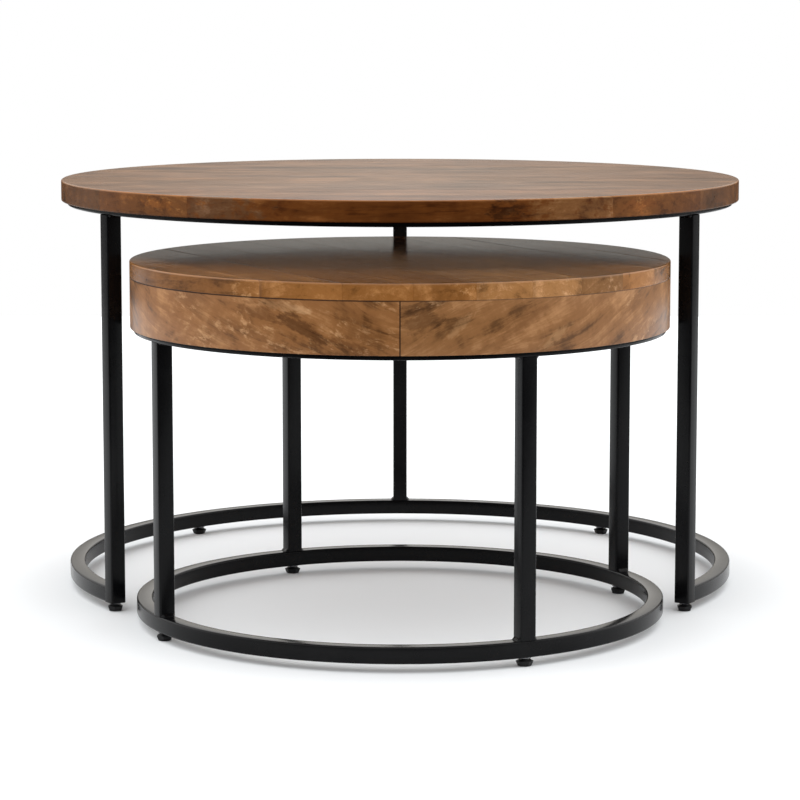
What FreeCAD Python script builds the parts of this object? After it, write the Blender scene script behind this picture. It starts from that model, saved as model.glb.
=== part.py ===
# A nesting pair of round coffee tables with solid wood tops on black steel frames.
#
# The large table has three legs and a C-shaped floor ring that is open at the front, so that the small
# table slides in between its two front legs. The small table is a drum: a lid of glued boards over a
# curved apron in two halves, on four legs and a closed floor ring. Both stand on screw-in levelling feet.
#
# Frame: +Z up, +Y to the back, the small table pulls out along -Y. The origin is on the floor, in the
# middle of the set as it stands here with the small table partly pulled out. Millimetres and degrees.

import FreeCAD
import Part

import math
import os

from FreeCAD import Vector

# ---- driving dimensions -------------------------------------------------------------------------

large_radius = 400.0
large_height = 480.0
large_top_thickness = 24.0
large_board_width = 109.0

small_radius = 300.0
small_height = 405.0
small_lid_thickness = 18.0
small_apron_height = 56.0
small_apron_wall = 18.0
small_board_width = 62.0
small_turn = 27.0            # how far the small table stands turned about its own axis
pulled_out = 240.0           # from the large table's axis forward to the small table's axis

arris = 1.5                  # bevel along the rims of the tops
apron_arris = 0.6

tube = 18.0                  # square tube of the legs and floor rings
tube_wall = 1.5
tube_corner = 2.0
flat_bar_width = 25.0        # flat bar ring that carries each top
flat_bar_thickness = 5.0
large_overhang = 4.5         # wood past the legs and the floor ring
small_overhang = 4.0
large_ring_setback = 3.0     # flat bar ring behind the faces of the legs
small_ring_setback = 0.0
front_leg_spread = 57.0      # each large front leg from straight ahead, seen from the axis
rear_foot_spread = 42.5      # each large rear foot from straight back

floor_gap = 9.5              # floor to the underside of the rings
pad_height = 7.0
pad_top_corner = 9.75        # hexagonal pad, centre to corner at its widest
pad_foot_corner = 7.9
pad_grip = 5.2               # height of the widest point of the pad
stem_radius = 4.0
stem_length = 22.0
stem_seat = 2.0              # height of the stem's lower end inside the pad
running_gap = 0.05           # radial clearance of a stem in its nut and its pad
nut_radius = 5.5
nut_length = 12.0            # above the flange
nut_flange_radius = 7.0
nut_flange = 1.0
nut_bulge_radius = 6.6       # the collar that riveting raises behind the wall
nut_bulge = 3.0
plug_thickness = 3.0         # steel plate that closes the foot of each large front leg

screw_radius = 2.0
screw_hole_radius = 2.6
screw_head_radius = 4.2      # countersunk, flush with the bar
screw_head = 2.2
large_screw_bite = 14.0      # screw length in the wood
small_screw_bite = 25.0
screws_per_ring = 8

block_length = 50.0          # glue blocks inside the drum
block_side = 20.0
blocks = 8
block_gap = 0.1

# ---- places worked out from them ----------------------------------------------------------------

set_depth = large_radius + pulled_out + small_radius
large_centre = Vector(0, set_depth / 2 - large_radius, 0)
small_centre = large_centre - Vector(0, pulled_out, 0)

ring_top = floor_gap + tube
large_steel_radius = large_radius - large_overhang
small_steel_radius = small_radius - small_overhang
large_ring_radius = large_steel_radius - large_ring_setback
small_ring_radius = small_steel_radius - small_ring_setback
large_wood_base = large_height - large_top_thickness
small_lid_base = small_height - small_lid_thickness
small_wood_base = small_lid_base - small_apron_height

large_leg_turns = {"left": 270 - front_leg_spread, "right": 270 + front_leg_spread, "back": 90}
large_foot_turns = {
    "front_left": large_leg_turns["left"],
    "front_right": large_leg_turns["right"],
    "back_left": 90 + rear_foot_spread,
    "back_right": 90 - rear_foot_spread,
}
small_leg_turns = {"front_left": 180, "front_right": 270, "back_left": 90, "back_right": 0}
apron_seam = 270 - small_turn    # the seam between the halves faces the front
up = Vector(0, 0, 1)
parts_folder = "parts"


# ---- shapes used by both tables -----------------------------------------------------------------

def turned(shape, degrees):
    moved = shape.copy()
    moved.rotate(Vector(0, 0, 0), up, degrees)
    return moved


def around(shape, turns):
    """One compound of copies of the shape, each turned about Z."""
    return Part.makeCompound([turned(shape, turn) for turn in turns])


def even_turns(count, first):
    return [first + step * 360 / count for step in range(count)]


def cylinder(radius, bottom, top, x=0.0):
    return Part.makeCylinder(radius, top - bottom, Vector(x, 0, bottom))


def pipe(outer, inner, bottom, top):
    return cylinder(outer, bottom, top).cut(cylinder(inner, bottom, top))


def eased(shape, radius, test):
    """Rounds the edges that the test picks."""
    return shape.makeFillet(radius, [edge for edge in shape.Edges if test(edge)])


def rounded_square(size, corner, point):
    """A wire round a square with rounded corners. point(u, v) places it in space."""
    flat = size / 2 - corner

    def on_corner(index, angle):
        centre_u = flat if index in (0, 3) else -flat
        centre_v = flat if index in (0, 1) else -flat
        a = math.radians(angle)
        return point(centre_u + corner * math.cos(a), centre_v + corner * math.sin(a))

    edges = []
    for index in range(4):
        start = 90 * index
        points = [on_corner(index, start + bend) for bend in (0, 45, 90)]
        following = on_corner((index + 1) % 4, start + 90)
        edges.append(Part.Arc(*points).toShape())
        edges.append(Part.LineSegment(points[2], following).toShape())
    return Part.Wire(edges)


def tube_sections(point):
    """Outer and inner faces of the square tube's section."""
    inner = tube - 2 * tube_wall
    sections = ((tube, tube_corner), (inner, tube_corner - tube_wall))
    return [Part.Face(rounded_square(size, corner, point)) for size, corner in sections]


def leg(steel_radius, bottom, top):
    """An upright square tube on the X side of the axis, flush with the steel's outer radius."""
    middle = steel_radius - tube / 2
    outer, inner = tube_sections(lambda u, v: Vector(middle + u, v, bottom))
    rise = Vector(0, 0, top - bottom)
    return outer.extrude(rise).cut(inner.extrude(rise))


def rolled_ring(steel_radius, start, sweep):
    """The floor ring: square tube rolled about the table's axis."""
    middle = steel_radius - tube / 2
    level = floor_gap + tube / 2
    outer, inner = tube_sections(lambda u, v: Vector(middle + u, 0, level + v))
    ring = outer.revolve(Vector(0, 0, 0), up, sweep).cut(inner.revolve(Vector(0, 0, 0), up, sweep))
    return turned(ring, start)


def nut_holes(steel_radius, turns, depth):
    hole = cylinder(nut_radius, floor_gap - 1, floor_gap + depth, steel_radius - tube / 2)
    return around(hole, turns)


def foot_nut(steel_radius, wall):
    """A rivet nut, set from below through a wall of that thickness."""
    x = steel_radius - tube / 2
    body = cylinder(nut_radius, floor_gap, floor_gap + nut_length, x)
    flange = cylinder(nut_flange_radius, floor_gap - nut_flange, floor_gap, x)
    bulge = cylinder(nut_bulge_radius, floor_gap + wall, floor_gap + wall + nut_bulge, x)
    bore = cylinder(stem_radius + running_gap, 0, ring_top, x)
    return body.fuse([flange, bulge]).cut(bore).removeSplitter()


def foot_stem(steel_radius):
    """The threaded stem, drawn at its outer diameter, with a chamfered tip."""
    x = steel_radius - tube / 2
    tip = 0.8
    top = stem_seat + stem_length
    shank = cylinder(stem_radius, stem_seat, top - tip, x)
    cone = Part.makeCone(stem_radius, stem_radius - tip, tip, Vector(x, 0, top - tip))
    return shank.fuse(cone)


def hexagon(corner, height, x):
    points = [
        Vector(x + corner * math.cos(math.radians(60 * k)), corner * math.sin(math.radians(60 * k)), height)
        for k in range(7)
    ]
    return Part.makePolygon(points)


def foot_pad(steel_radius):
    """The moulded foot: a hexagon that widens upwards to a grip, then slopes in to the stem."""
    x = steel_radius - tube / 2
    collar = stem_radius + 2.5
    body = Part.makeLoft([hexagon(pad_foot_corner, 0, x), hexagon(pad_top_corner, pad_grip, x)], True)
    slope = Part.makeLoft([hexagon(pad_top_corner, pad_grip, x), hexagon(collar, pad_height, x)], True)
    socket = cylinder(stem_radius + running_gap, stem_seat, pad_height + 1, x)
    return body.fuse(slope).cut(socket)


def flat_ring(outer_radius, wood_base, screw_circle, first_screw):
    """The flat bar ring under the wood, with its countersunk screw holes."""
    bottom = wood_base - flat_bar_thickness
    ring = pipe(outer_radius, outer_radius - flat_bar_width, bottom, wood_base)
    hole = cylinder(screw_hole_radius, bottom - 1, wood_base + 1, screw_circle)
    mouth = screw_head_radius + running_gap
    sink = Part.makeCone(mouth, screw_radius + running_gap, screw_head, Vector(screw_circle, 0, bottom))
    return ring.cut(around(hole.fuse(sink), even_turns(screws_per_ring, first_screw)))


def ring_screws(wood_base, screw_circle, bite, first_screw):
    """Countersunk wood screws, driven up through the flat bar ring."""
    under = wood_base - flat_bar_thickness
    point = 4.0
    shank_top = wood_base + bite - point
    shank = cylinder(screw_radius, under, shank_top, screw_circle)
    tip = Part.makeCone(screw_radius, 0.3, point, Vector(screw_circle, 0, shank_top))
    head = Part.makeCone(screw_head_radius, screw_radius, screw_head, Vector(screw_circle, 0, under))
    return around(shank.fuse([tip, head]), even_turns(screws_per_ring, first_screw))


def round_panel(radius, bottom, top, ease_bottom):
    """A round board panel with its rims bevelled."""
    straight = cylinder(radius, bottom + (arris if ease_bottom else 0), top - arris)
    upper = Part.makeCone(radius, radius - arris, arris, Vector(0, 0, top - arris))
    if not ease_bottom:
        return straight.fuse(upper)
    lower = Part.makeCone(radius - arris, radius, arris, Vector(0, 0, bottom))
    return straight.fuse([upper, lower])


def boards(panel, radius, width, count, bottom, top, screws):
    """Cuts a round panel into boards along X, glued edge to edge, with the screws' holes."""
    low = -width * count / 2
    pieces = []
    for index in range(count):
        first = -radius - 1 if index == 0 else low + index * width
        last = radius + 1 if index == count - 1 else low + (index + 1) * width
        strip = Part.makeBox(
            2 * radius + 2, last - first, top - bottom + 2, Vector(-radius - 1, first, bottom - 1)
        )
        board = panel.common(strip)
        pieces.append(board.cut(screws) if screws else board)
    return pieces


# ---- the large table ----------------------------------------------------------------------------

def large_table():
    steel = large_steel_radius
    screw_circle = large_ring_radius - flat_bar_width / 2
    first_screw = 22.5
    screws = ring_screws(large_wood_base, screw_circle, large_screw_bite, first_screw)
    nodes = {"large_top_screws": screws}

    panel = round_panel(large_radius, large_wood_base, large_height, True)
    planks = boards(panel, large_radius, large_board_width, 8, large_wood_base, large_height, screws)
    for number, plank in enumerate(planks, 1):
        nodes[f"large_top_board_{number}"] = plank

    nodes["large_top_ring"] = flat_ring(large_ring_radius, large_wood_base, screw_circle, first_screw)

    leg_top = large_wood_base - flat_bar_thickness
    for side, turn in large_leg_turns.items():
        bottom = ring_top if side == "back" else floor_gap
        nodes[f"large_leg_{side}"] = turned(leg(steel, bottom, leg_top), turn)

    nodes["large_base_ring"] = large_base_ring()
    nodes["large_leg_plugs"] = leg_plugs()

    nuts = []
    for place, turn in large_foot_turns.items():
        wall = plug_thickness if place.startswith("front") else tube_wall
        nuts.append(turned(foot_nut(steel, wall), turn))
        nodes[f"large_foot_stem_{place}"] = turned(foot_stem(steel), turn)
        nodes[f"large_foot_pad_{place}"] = turned(foot_pad(steel), turn)
    nodes["large_foot_nuts"] = Part.makeCompound(nuts)
    return nodes


def large_base_ring():
    """A C of rolled tube whose ends butt against the sides of the two front legs."""
    left = large_leg_turns["left"]
    right = large_leg_turns["right"] - 360
    ring = rolled_ring(large_steel_radius, right, left - right)
    reach = large_steel_radius + tube
    behind_leg = 60.0
    for turn, ahead in ((left, 1), (right, -1)):
        low = -tube / 2 if ahead > 0 else -behind_leg
        leg_space = Part.makeBox(reach, tube / 2 + behind_leg, ring_top + 2, Vector(0, low, 0))
        ring = ring.cut(turned(leg_space, turn))
    rear = [large_foot_turns["back_left"], large_foot_turns["back_right"]]
    return ring.cut(nut_holes(large_steel_radius, rear, tube_wall + 1))


def leg_plugs():
    """Plates that close the front legs' open ends and carry their foot nuts."""
    middle = large_steel_radius - tube / 2
    inner = tube - 2 * tube_wall
    outline = rounded_square(inner, tube_corner - tube_wall, lambda u, v: Vector(middle + u, v, floor_gap))
    plate = Part.Face(outline).extrude(Vector(0, 0, plug_thickness))
    front = [large_leg_turns["left"], large_leg_turns["right"]]
    return around(plate, front).cut(nut_holes(large_steel_radius, front, plug_thickness + 1))


# ---- the small table, built about its own axis --------------------------------------------------

def small_table():
    steel = small_steel_radius
    screw_circle = small_radius - small_apron_wall + 7
    first_screw = 22.5
    screws = ring_screws(small_wood_base, screw_circle, small_screw_bite, first_screw)
    nodes = {"small_apron_screws": screws}

    panel = round_panel(small_radius, small_lid_base, small_height, False)
    lid = boards(panel, small_radius, small_board_width, 10, small_lid_base, small_height, None)
    for number, plank in enumerate(lid, 1):
        nodes[f"small_top_board_{number}"] = turned(plank, 90)

    apron = apron_ring().cut(screws)
    for side, start in (("left", apron_seam - 180), ("right", apron_seam)):
        nodes[f"small_apron_{side}"] = apron.common(half_space(start))

    nodes["small_apron_blocks"] = glue_blocks()
    nodes["small_top_ring"] = flat_ring(small_ring_radius, small_wood_base, screw_circle, first_screw)

    leg_top = small_wood_base - flat_bar_thickness
    turns = list(small_leg_turns.values())
    ring = rolled_ring(steel, 0, 360)
    nodes["small_base_ring"] = ring.cut(nut_holes(steel, turns, tube_wall + 1))
    nodes["small_foot_nuts"] = around(foot_nut(steel, tube_wall), turns)
    for place, turn in small_leg_turns.items():
        nodes[f"small_leg_{place}"] = turned(leg(steel, ring_top, leg_top), turn)
        nodes[f"small_foot_stem_{place}"] = turned(foot_stem(steel), turn)
        nodes[f"small_foot_pad_{place}"] = turned(foot_pad(steel), turn)
    return nodes


def apron_ring():
    """The drum's wall, before it is parted into halves."""
    wall = pipe(small_radius, small_radius - small_apron_wall, small_wood_base, small_lid_base)

    def lower_rim(edge):
        box = edge.BoundBox
        return box.ZMax < small_wood_base + 0.01 and box.XLength > 2 * small_radius - 1

    return eased(wall, apron_arris, lower_rim)


def half_space(start):
    """A box over the half turn that begins at that angle."""
    reach = small_radius + 10
    box = Part.makeBox(2 * reach, reach, small_height, Vector(-reach, 0, 0))
    return turned(box, start)


def glue_blocks():
    """Blocks in the corner between the lid and the apron's inner face."""
    inner = small_radius - small_apron_wall
    chord = math.sqrt(inner ** 2 - (block_length / 2) ** 2) - block_gap
    block = Part.makeBox(
        block_side, block_length, block_side,
        Vector(chord - block_side, -block_length / 2, small_lid_base - block_side),
    )
    return around(block, even_turns(blocks, 0))


# ---- every piece to its own file ----------------------------------------------------------------

def main():
    os.makedirs(parts_folder, exist_ok=True)
    placed = {}
    for name, shape in large_table().items():
        placed[name] = shape.translated(large_centre)
    for name, shape in small_table().items():
        placed[name] = turned(shape, small_turn).translated(small_centre)
    for name, shape in sorted(placed.items()):
        if not shape.isValid() or not shape.Solids:
            raise RuntimeError(f"{name} is not a valid solid")
        solids = shape.Solids
        kept = solids[0] if len(solids) == 1 else Part.makeCompound(solids)
        kept.exportStep(os.path.join(parts_folder, name + ".step"))
    print(len(placed), "nodes,", sum(len(s.Solids) for s in placed.values()), "solids")


main()
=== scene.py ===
import math

import bmesh
import bpy
from mathutils import Matrix, Vector, noise


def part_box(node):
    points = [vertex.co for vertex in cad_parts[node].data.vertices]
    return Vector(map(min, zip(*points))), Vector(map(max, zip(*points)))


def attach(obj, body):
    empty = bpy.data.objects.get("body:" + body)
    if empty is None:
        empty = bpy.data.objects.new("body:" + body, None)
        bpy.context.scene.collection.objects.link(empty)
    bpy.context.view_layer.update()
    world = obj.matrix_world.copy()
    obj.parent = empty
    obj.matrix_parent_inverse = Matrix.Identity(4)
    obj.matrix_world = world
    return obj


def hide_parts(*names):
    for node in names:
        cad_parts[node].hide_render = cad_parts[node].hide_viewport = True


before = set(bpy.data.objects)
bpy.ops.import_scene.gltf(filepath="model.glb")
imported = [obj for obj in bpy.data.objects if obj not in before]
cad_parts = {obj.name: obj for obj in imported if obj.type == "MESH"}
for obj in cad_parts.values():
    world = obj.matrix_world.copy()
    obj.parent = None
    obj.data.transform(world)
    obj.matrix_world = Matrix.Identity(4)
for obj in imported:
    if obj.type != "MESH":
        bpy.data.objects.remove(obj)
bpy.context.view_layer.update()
print("frame loaded:", len(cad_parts), "nodes")


# Places, all worked out from the frame

def middle(node):
    low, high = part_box(node)
    return (low + high) / 2


def heights(node):
    low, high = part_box(node)
    return low.z, high.z


def turnAbout(point, centre):
    return math.atan2(point.y - centre.y, point.x - centre.x)


def sizeOf(node):
    low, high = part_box(node)
    return high - low


largeTable = {
    "body": "large_table",
    "centre": Vector((0, middle("large_top_ring").y, 0)),
    "woodRadius": sizeOf("large_top_board_4").x / 2,
    "barRadius": sizeOf("large_top_ring").x / 2,
    "steelRadius": sizeOf("large_base_ring").x / 2,
}
smallTable = {
    "body": "small_table",
    "centre": Vector((0, middle("small_top_ring").y, 0)),
    "woodRadius": sizeOf("small_apron_left").y / 2,
    "barRadius": sizeOf("small_top_ring").y / 2,
    "steelRadius": sizeOf("small_base_ring").y / 2,
}
smallTurn = turnAbout(middle("small_leg_back_right"), smallTable["centre"])
footPlaces = ("front_left", "front_right", "back_left", "back_right")


# Mesh helpers

# Painted shade in the gaps at the joints round the drum, weaker on the right, where the joint is tight
def lessGapShade(points, gapShade):
    cleaner = []
    for point, value in zip(points, gapShade):
        right = max(0.0, min(1.0, point[0] / 0.1 + 0.3))
        cleaner.append(value * (1.0 - 0.75 * right))
    return cleaner


# shape is (points, faces); marks are extra point attributes by name
def makePiece(name, shape, material, body, replaced=(), sharpAt=35, marks=None):
    points, faces = shape
    mesh = bpy.data.meshes.new(name)
    mesh.from_pydata([tuple(p) for p in points], [], faces)
    for label, values in (marks or {}).items():
        attribute = mesh.attributes.new(label, "FLOAT", "POINT")
        attribute.data.foreach_set("value", values)
    bm = bmesh.new()
    bm.from_mesh(mesh)
    bmesh.ops.remove_doubles(bm, verts=bm.verts, dist=1e-6)
    bmesh.ops.recalc_face_normals(bm, faces=bm.faces)
    limit = math.radians(sharpAt)
    for edge in bm.edges:
        edge.smooth = edge.calc_face_angle(0) < limit
    for face in bm.faces:
        face.smooth = True
    bm.to_mesh(mesh)
    bm.free()
    mesh.materials.append(material)
    piece = bpy.data.objects.new(name, mesh)
    bpy.context.scene.collection.objects.link(piece)
    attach(piece, body)
    if replaced:
        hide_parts(*replaced)


def joined(shapes):
    points, faces = [], []
    for somePoints, someFaces in shapes:
        start = len(points)
        points += list(somePoints)
        faces += [tuple(i + start for i in face) for face in someFaces]
    return points, faces


def placed(shape, centre, turn=0.0):
    points, faces = shape
    move = Matrix.Translation(centre) @ Matrix.Rotation(turn, 4, "Z")
    return [move @ Vector(p) for p in points], faces


# Skins closed loops of equal length; around joins the last loop to the first
def loft(loops, around=False, caps=True):
    count = len(loops[0])
    points = [p for loop in loops for p in loop]
    faces = []
    for row in range(len(loops) if around else len(loops) - 1):
        first = row * count
        second = (row + 1) % len(loops) * count
        for i in range(count):
            j = (i + 1) % count
            faces.append((first + i, first + j, second + j, second + i))
    if caps and not around:
        faces.append(tuple(range(count)))
        faces.append(tuple(range((len(loops) - 1) * count, len(loops) * count)))
    return points, faces


# A loop of (u, v) about the middle, counterclockwise
def roundedRectangle(width, height, corner, steps):
    loop = []
    for quarter in range(4):
        signU = 1 if quarter in (0, 3) else -1
        signV = 1 if quarter in (0, 1) else -1
        for step in range(steps + 1):
            angle = math.radians(90 * quarter + 90 * step / steps)
            u = signU * (width / 2 - corner) + corner * math.cos(angle)
            v = signV * (height / 2 - corner) + corner * math.sin(angle)
            loop.append((u, v))
    return loop


def circle(radius, z, columns):
    angles = [2 * math.pi * column / columns for column in range(columns)]
    return [(radius * math.cos(a), radius * math.sin(a), z) for a in angles]


# Turns a loop of (radius, height) about Z, all the way round when the two angles are a full turn apart
def rolled(loop, start, end, count):
    full = abs(end - start) > 2 * math.pi - 1e-6
    loops = []
    for step in range(count if full else count + 1):
        angle = start + (end - start) * step / count
        loops.append([(r * math.cos(angle), r * math.sin(angle), z) for r, z in loop])
    return loft(loops, around=full)


# Node helpers

def add(tree, kind, inputs=None, **settings):
    node = tree.nodes.new("ShaderNode" + kind)
    node.location = (len(tree.nodes) % 12 * 190, len(tree.nodes) // 12 * -320)
    for key, value in settings.items():
        setattr(node, key, value)
    for key, value in (inputs or {}).items():
        if isinstance(value, bpy.types.NodeSocket):
            tree.links.new(value, node.inputs[key])
        else:
            node.inputs[key].default_value = value
    return node


def calc(tree, operation, first, second=0.0):
    return add(tree, "Math", {0: first, 1: second}, operation=operation).outputs[0]


def soft(tree, value, low, high, toLow=0.0, toHigh=1.0):
    ends = {"Value": value, "From Min": low, "From Max": high, "To Min": toLow, "To Max": toHigh}
    return add(tree, "MapRange", ends, interpolation_type="SMOOTHSTEP").outputs[0]


def mixColour(tree, factor, first, second, mode="MIX"):
    inputs = {0: factor, 6: first, 7: second}
    return add(tree, "Mix", inputs, data_type="RGBA", blend_type=mode).outputs[2]


def mixFloat(tree, factor, first, second):
    return add(tree, "Mix", {0: factor, 2: first, 3: second}).outputs[0]


# Noise over a stretched place; the seed moves it
def cloud(tree, place, stretch, seed, detail=2.0, roughness=0.5):
    scaled = add(tree, "VectorMath", {0: place, 1: stretch}, operation="MULTIPLY").outputs[0]
    values = {"Vector": scaled, "W": seed, "Scale": 1.0, "Detail": detail, "Roughness": roughness}
    return add(tree, "TexNoise", values, noise_dimensions="4D").outputs[0]


def newGroup(name, inputs, outputs):
    tree = bpy.data.node_groups.new(name, "ShaderNodeTree")
    for label, kind, value in inputs:
        socket = tree.interface.new_socket(label, in_out="INPUT", socket_type="NodeSocket" + kind)
        if value is not None:
            socket.default_value = value
    for label, kind in outputs:
        tree.interface.new_socket(label, in_out="OUTPUT", socket_type="NodeSocket" + kind)
    return tree, tree.nodes.new("NodeGroupInput").outputs, tree.nodes.new("NodeGroupOutput").inputs


def useGroup(tree, group, inputs):
    node = tree.nodes.new("ShaderNodeGroup")
    node.node_tree = group
    for key, value in inputs.items():
        if isinstance(value, bpy.types.NodeSocket):
            tree.links.new(value, node.inputs[key])
        else:
            node.inputs[key].default_value = value
    return node.outputs


def newMaterial(name, **constants):
    material = bpy.data.materials.new(name)
    material.use_nodes = True
    tree = material.node_tree
    shader = tree.nodes["Principled BSDF"]
    for label, value in constants.items():
        shader.inputs[label.replace("_", " ")].default_value = value
    return material, tree, shader.inputs


def bumped(tree, shader, height, distance, strength=1.0):
    bump = add(tree, "Bump", {"Height": height, "Distance": distance, "Strength": strength})
    tree.links.new(bump.outputs[0], shader["Normal"])


# Shared effects

grainTints = {  # what each effect multiplies the wood's colour by
    "smoky": (0.50, 0.46, 0.42, 1), "pale": (1.5, 1.75, 2.1, 1), "below": (0.75, 0.85, 1.05, 1),
    # gapShadow: painted shade in the gaps at the joints, near black
    "seam": (0.66, 0.61, 0.57, 1), "gapShadow": (0.10, 0.08, 0.07, 1),
}


# Stained hardwood. Position is in the board's own frame, in metres: along, across, up
def makeGrain():
    tree, given, result = newGroup("woodGrain", [
        ("Position", "Vector", None),
        ("Facing", "Vector", None),
        ("Seed", "Float", 0.0),
        ("Dark", "Color", (0.05, 0.02, 0.008, 1)),
        ("Mid", "Color", (0.14, 0.06, 0.02, 1)),
        ("Light", "Color", (0.28, 0.13, 0.05, 1)),
        ("Ring Spacing", "Float", 0.011),
        ("Waviness", "Float", 0.03),
        ("Contrast", "Float", 1.0),
        ("Smear", "Float", 0.4),
        ("Fleck", "Float", 0.3),
        ("End Grain And Lit Tint", "Color", (0.95, 0.9, 0.85, 1)),
        ("Length", "Float", 1.0),
        ("Half Width", "Float", 1.0),
        ("Darker Below", "Float", 1.0),
        ("Highlight And Wear", "Float", 0.0),
        ("Gap Shade", "Float", 0.0),
        ("Gloss Roughness", "Float", 0.25),
    ], [("Color", "Color"), ("Roughness", "Float"), ("Height", "Float")])
    seed = given["Seed"]
    seeds = [calc(tree, "ADD", seed, 3.7 * step) for step in range(9)]

    # the grain wanders
    shorter = calc(tree, "DIVIDE", 1.0, given["Length"])
    shorter = add(tree, "CombineXYZ", {0: shorter, 1: 1.0, 2: 1.0}).outputs[0]
    start = add(tree, "VectorMath", {0: given["Position"], 1: shorter}, operation="MULTIPLY").outputs[0]
    scaled = add(tree, "VectorMath", {0: start, 1: (5.5, 13, 13)}, operation="MULTIPLY").outputs[0]
    drift = add(tree, "TexNoise", {"Vector": scaled, "W": seeds[0], "Scale": 1.0, "Detail": 2.5},
                noise_dimensions="4D").outputs[1]
    drift = add(tree, "VectorMath", {0: drift, 1: (0.5, 0.5, 0.5)}, operation="SUBTRACT").outputs[0]
    drift = add(tree, "VectorMath", {0: drift, 3: given["Waviness"]}, operation="SCALE").outputs[0]
    place = add(tree, "VectorMath", {0: start, 1: drift}, operation="ADD").outputs[0]
    split = add(tree, "SeparateXYZ", {0: place}).outputs

    depth = calc(tree, "ADD", split[2], 0.055)  # the pith lies below the board
    aside = calc(tree, "POWER", calc(tree, "ABSOLUTE", split[1]), 2)
    reach = calc(tree, "ADD", aside, calc(tree, "POWER", depth, 2))
    phase = calc(tree, "DIVIDE", calc(tree, "SQRT", reach), given["Ring Spacing"])
    phase = calc(tree, "ADD", phase, cloud(tree, place, (1.5, 40, 40), seeds[1], 3))
    ring = calc(tree, "POWER", calc(tree, "FRACT", phase), 2.2)

    figure = cloud(tree, place, (8, 42, 42), seeds[2], 5, 0.62)
    mottle = cloud(tree, place, (20, 30, 30), seeds[3], 5, 0.68)
    fibre = cloud(tree, place, (38, 620, 620), seeds[4], 3, 0.6)
    curl = cloud(tree, place, (95, 16, 16), seeds[5], 3, 0.6)

    tone = calc(tree, "MULTIPLY", figure, 0.40)
    tone = calc(tree, "ADD", tone, calc(tree, "MULTIPLY", mottle, 0.36))
    tone = calc(tree, "ADD", tone, calc(tree, "MULTIPLY", fibre, 0.13))
    tone = calc(tree, "ADD", tone, calc(tree, "MULTIPLY", curl, 0.11))
    tone = calc(tree, "SUBTRACT", tone, calc(tree, "MULTIPLY", ring, 0.035))
    tone = calc(tree, "MULTIPLY", calc(tree, "SUBTRACT", tone, 0.49), given["Contrast"])
    colour = mixColour(tree, soft(tree, tone, -0.09, 0.0), given["Dark"], given["Mid"])
    colour = mixColour(tree, soft(tree, tone, 0.0, 0.11), colour, given["Light"])

    # smoky smears and pale flecks in the stain
    smear = soft(tree, cloud(tree, place, (7, 22, 22), seeds[6], 4, 0.6), 0.53, 0.64)
    smear = calc(tree, "MULTIPLY", smear, given["Smear"])
    smoky = mixColour(tree, 1.0, colour, grainTints["smoky"], "MULTIPLY")
    colour = mixColour(tree, smear, colour, smoky)

    spots = soft(tree, cloud(tree, place, (60, 150, 150), seeds[7], 5, 0.75), 0.51, 0.66)
    where = soft(tree, cloud(tree, place, (9, 14, 14), seeds[8], 2), 0.50, 0.60)
    spots = calc(tree, "MULTIPLY", spots, calc(tree, "MULTIPLY", where, given["Fleck"]))
    sides = add(tree, "SeparateXYZ", {0: given["Facing"]}).outputs
    under = soft(tree, sides[2], -0.7, -0.4, 1.0, 0.0)
    spots = calc(tree, "MULTIPLY", spots, calc(tree, "SUBTRACT", 1.0, under))
    pale = mixColour(tree, 1.0, given["Light"], grainTints["pale"], "MULTIPLY")
    colour = mixColour(tree, spots, colour, pale)

    # end grain, tinted on the lid as painted light from the front; a painted highlight along the top arris,
    # partly edge wear; faces that point down darker and less orange
    # faces at the board ends: a real end grain tint on the large top, painted light from the front on the lid
    endGrain = soft(tree, calc(tree, "ABSOLUTE", sides[0]), 0.35, 0.95)
    deeper = mixColour(tree, 1.0, colour, given["End Grain And Lit Tint"], "MULTIPLY")
    colour = mixColour(tree, endGrain, colour, deeper)
    # painted highlight along the top arris, partly edge wear
    colour = mixColour(tree, given["Highlight And Wear"], colour, given["Light"])
    # faces that point down are darker and less orange
    darkerBelow = mixColour(tree, 1.0, colour, grainTints["below"], "MULTIPLY")
    colour = mixColour(tree, calc(tree, "MULTIPLY", under, given["Darker Below"]), colour, darkerBelow)

    # the joints between boards show on top and hardly on the rim
    across = calc(tree, "ABSOLUTE", add(tree, "SeparateXYZ", {0: given["Position"]}).outputs[1])
    toSeam = calc(tree, "SUBTRACT", given["Half Width"], across)
    seam = mixColour(tree, 1.0, colour, grainTints["seam"], "MULTIPLY")
    upward = soft(tree, sides[2], 0.3, 0.8, 0.25, 1.0)
    line = calc(tree, "MULTIPLY", soft(tree, toSeam, 0.0002, 0.0007, 1.0, 0.0), upward)
    colour = mixColour(tree, line, colour, seam)
    # painted shade in the gaps at the joints, darkened nearly to black
    gapShadow = mixColour(tree, 1.0, colour, grainTints["gapShadow"], "MULTIPLY")
    tree.links.new(mixColour(tree, given["Gap Shade"], colour, gapShadow), result["Color"])

    # how matt the lacquer is, least on top
    matt = calc(tree, "MULTIPLY", calc(tree, "SUBTRACT", mottle, 0.5), 0.12)
    matt = calc(tree, "ADD", matt, calc(tree, "MULTIPLY", calc(tree, "SUBTRACT", fibre, 0.5), 0.06))
    matt = calc(tree, "ADD", matt, calc(tree, "MULTIPLY", under, 0.65))
    matt = calc(tree, "ADD", matt, soft(tree, calc(tree, "ABSOLUTE", sides[2]), 0.2, 0.9, 0.13, 0.0))
    matt = calc(tree, "ADD", matt, calc(tree, "MULTIPLY", given["Gap Shade"], 0.4))
    tree.links.new(calc(tree, "ADD", given["Gloss Roughness"], matt), result["Roughness"])
    relief = calc(tree, "ADD", calc(tree, "MULTIPLY", fibre, 0.6), calc(tree, "MULTIPLY", ring, -0.4))
    tree.links.new(relief, result["Height"])
    return tree
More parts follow.
